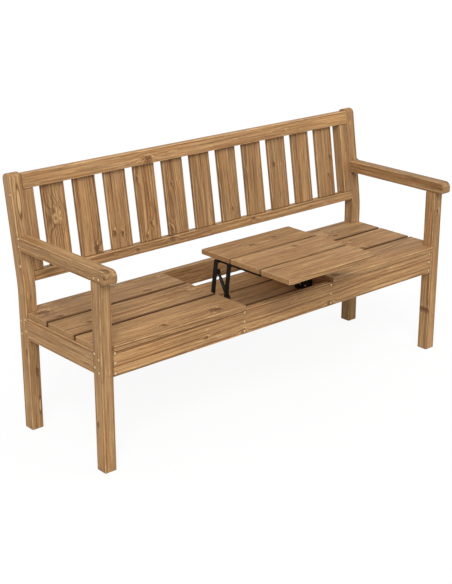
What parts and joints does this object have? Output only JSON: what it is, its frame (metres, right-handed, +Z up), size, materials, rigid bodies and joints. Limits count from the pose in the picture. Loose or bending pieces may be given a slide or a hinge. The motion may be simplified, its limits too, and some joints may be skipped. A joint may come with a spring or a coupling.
{
  "type": "garden bench with lift-up table",
  "caption": "Wooden garden bench with armrests, a slatted back and a small table that lifts out of the middle of the seat on steel arms.",
  "frame": {"origin": "on the ground, under the middle of the whole bench with its table raised", "axes": "+X along the bench to the sitter's left, +Y from the front of the seat to the back, +Z up"},
  "size_m": [1.6, 0.7231, 0.8823],
  "materials": {
    "wood": "light-brown stained pine, open grain, satin",
    "shelf_wood": "light-brown stained pine, rougher sawn, matt",
    "steel": "black powder coat"
  },
  "bodies": {
    "frame": {"armrest_left": "wood", "armrest_right": "wood", "back_bottom_rail": "wood", "back_slat_01": "wood", "back_slat_02": "wood", "back_slat_03": "wood", "back_slat_04": "wood", "back_slat_05": "wood", "back_slat_06": "wood", "back_slat_07": "wood", "back_slat_08": "wood", "back_slat_09": "wood", "back_slat_10": "wood", "back_slat_11": "wood", "back_stile_left": "wood", "back_stile_right": "wood", "back_top_rail": "wood", "cross_rail_left": "wood", "cross_rail_right": "wood", "front_apron": "wood", "front_leg_left": "wood", "front_leg_right": "wood", "hinge_bracket_left": "steel", "hinge_bracket_right": "steel", "rear_apron": "wood", "rear_leg_left": "wood", "rear_leg_right": "wood", "seat_board_front_left": "wood", "seat_board_front_right": "wood", "seat_board_middle_left": "wood", "seat_board_middle_right": "wood", "seat_board_rear_left": "wood", "seat_board_rear_right": "wood", "shelf_board_1": "shelf_wood", "shelf_board_2": "shelf_wood", "shelf_board_3": "shelf_wood", "side_rail_left": "wood", "side_rail_right": "wood"},
    "table": {"table_bar_left": "steel", "table_bar_right": "steel", "table_batten_left": "wood", "table_batten_right": "wood", "table_board_front": "wood", "table_board_middle": "wood", "table_board_rear": "wood"},
    "rear_arm_left": {"rear_arm_left": "steel"},
    "front_arm_left": {"front_arm_left": "steel"},
    "strut_tube_left": {"strut_tube_left": "steel"},
    "strut_rod_left": {"strut_rod_left": "steel"},
    "rear_arm_right": {"rear_arm_right": "steel"},
    "front_arm_right": {"front_arm_right": "steel"},
    "strut_tube_right": {"strut_tube_right": "steel"},
    "strut_rod_right": {"strut_rod_right": "steel"}
  },
  "joints": [
    {"name": "table_fold", "type": "hinge", "parent": "frame", "child": "rear_arm_left", "pos_m": [-0.2062, 0.02306, 0.35], "axis": [-1, 0, 0], "range_deg": [0, 82.85]},
    {"name": "table_level", "type": "hinge", "parent": "rear_arm_left", "child": "table", "pos_m": [-0.2062, -0.00236, 0.5393], "axis": [-1, 0, 0], "range_deg": [-82.85, 0]},
    {"name": "front_arm_left_hinge", "type": "hinge", "parent": "frame", "child": "front_arm_left", "pos_m": [-0.2017, -0.03894, 0.35], "axis": [-1, 0, 0], "range_deg": [0, 82.85]},
    {"name": "strut_left_hinge", "type": "hinge", "parent": "front_arm_left", "child": "strut_tube_left", "pos_m": [-0.1932, -0.04812, 0.41839], "axis": [1, 0, 0], "range_deg": [0, 32.13]},
    {"name": "strut_left_slide", "type": "slide", "parent": "strut_tube_left", "child": "strut_rod_left", "axis": [0, 0.5101, 0.8601], "range_m": [0, 0.0477]},
    {"name": "rear_arm_right_hinge", "type": "hinge", "parent": "frame", "child": "rear_arm_right", "pos_m": [0.2062, 0.02306, 0.35], "axis": [-1, 0, 0], "range_deg": [0, 82.85]},
    {"name": "front_arm_right_hinge", "type": "hinge", "parent": "frame", "child": "front_arm_right", "pos_m": [0.2017, -0.03894, 0.35], "axis": [-1, 0, 0], "range_deg": [0, 82.85]},
    {"name": "strut_right_hinge", "type": "hinge", "parent": "front_arm_right", "child": "strut_tube_right", "pos_m": [0.1932, -0.04812, 0.41839], "axis": [1, 0, 0], "range_deg": [0, 32.13]},
    {"name": "strut_right_slide", "type": "slide", "parent": "strut_tube_right", "child": "strut_rod_right", "axis": [0, 0.5101, 0.8601], "range_m": [0, 0.0477]}
  ],
  "couplings": [
    {"joint": "table_level", "follows": "table_fold", "ratio": -1},
    {"joint": "front_arm_left_hinge", "follows": "table_fold", "ratio": 1},
    {"joint": "strut_left_hinge", "follows": "table_fold", "ratio": 0.38778},
    {"joint": "strut_left_slide", "follows": "table_fold", "m_per_rad": 0.032989},
    {"joint": "rear_arm_right_hinge", "follows": "table_fold", "ratio": 1},
    {"joint": "front_arm_right_hinge", "follows": "table_fold", "ratio": 1},
    {"joint": "strut_right_hinge", "follows": "table_fold", "ratio": 0.38778},
    {"joint": "strut_right_slide", "follows": "table_fold", "m_per_rad": 0.032989}
  ]
}
